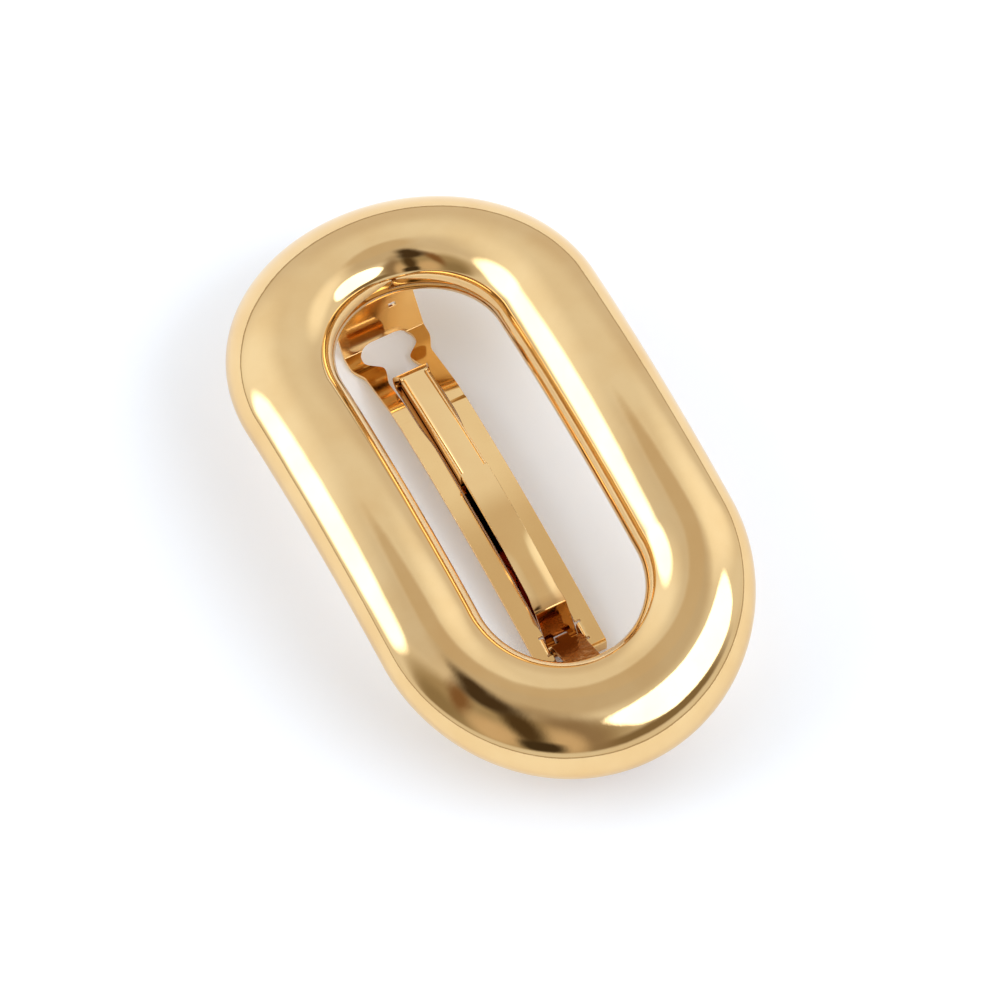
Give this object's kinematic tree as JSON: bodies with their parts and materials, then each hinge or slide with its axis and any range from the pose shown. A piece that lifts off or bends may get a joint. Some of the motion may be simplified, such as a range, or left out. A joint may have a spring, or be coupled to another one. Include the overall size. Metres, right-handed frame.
{
  "type": "spring hair clip",
  "caption": "Oval open-ring metal hair clip in polished gold colour, with a hinged slotted locking arm, a sprung tension bar and sprung catch fingers.",
  "frame": {"origin": "under the middle of the ring, at the height of the lowest point of the locking arm", "axes": "+X along the ring's long axis towards the hinge end, +Y across the ring, +Z from the clasp towards the ring's polished front"},
  "size_m": [0.0734, 0.0418, 0.0176],
  "materials": {
    "polished_gold_ring": "mirror polished, gold plated",
    "gold_plated_strip": "gold plated sheet steel, bright",
    "gold_plated_spring_strip": "gold plated spring steel strip, bright",
    "solder": "gold plated over soft solder",
    "gold_plated_pin": "gold plated steel wire"
  },
  "bodies": {
    "ring": {"ring_front_shell": "polished_gold_ring", "ring_back_plate": "polished_gold_ring", "solder_hinge_end": "solder", "solder_catch_end": "solder", "hinge_bracket": "gold_plated_strip", "catch_bracket": "gold_plated_strip", "hinge_pin": "gold_plated_pin"},
    "locking_arm": {"locking_arm": "gold_plated_strip"},
    "tension_bar": {"tension_bar": "gold_plated_spring_strip"},
    "catch_finger_left": {"catch_finger_left": "gold_plated_spring_strip"},
    "catch_finger_right": {"catch_finger_right": "gold_plated_spring_strip"}
  },
  "joints": [
    {"name": "arm_hinge", "type": "hinge", "parent": "ring", "child": "locking_arm", "pos_m": [0.0173, 0, 0.00104], "axis": [0, -1, 0], "range_deg": [0, 40]},
    {"name": "tension_bar_flex", "type": "hinge", "parent": "ring", "child": "tension_bar", "pos_m": [0.0173, 0, 0.00104], "axis": [0, 1, 0], "range_deg": [-1, 8], "stiffness_Nm_per_rad": 0.05},
    {"name": "catch_finger_left_flex", "type": "hinge", "parent": "ring", "child": "catch_finger_left", "pos_m": [-0.02894, -0.0018, 0.00488], "axis": [0, 1, 0], "range_deg": [0, 12], "stiffness_Nm_per_rad": 0.02},
    {"name": "catch_finger_right_flex", "type": "hinge", "parent": "ring", "child": "catch_finger_right", "pos_m": [-0.02894, 0.0018, 0.00488], "axis": [0, 1, 0], "range_deg": [0, 12], "stiffness_Nm_per_rad": 0.02}
  ]
}
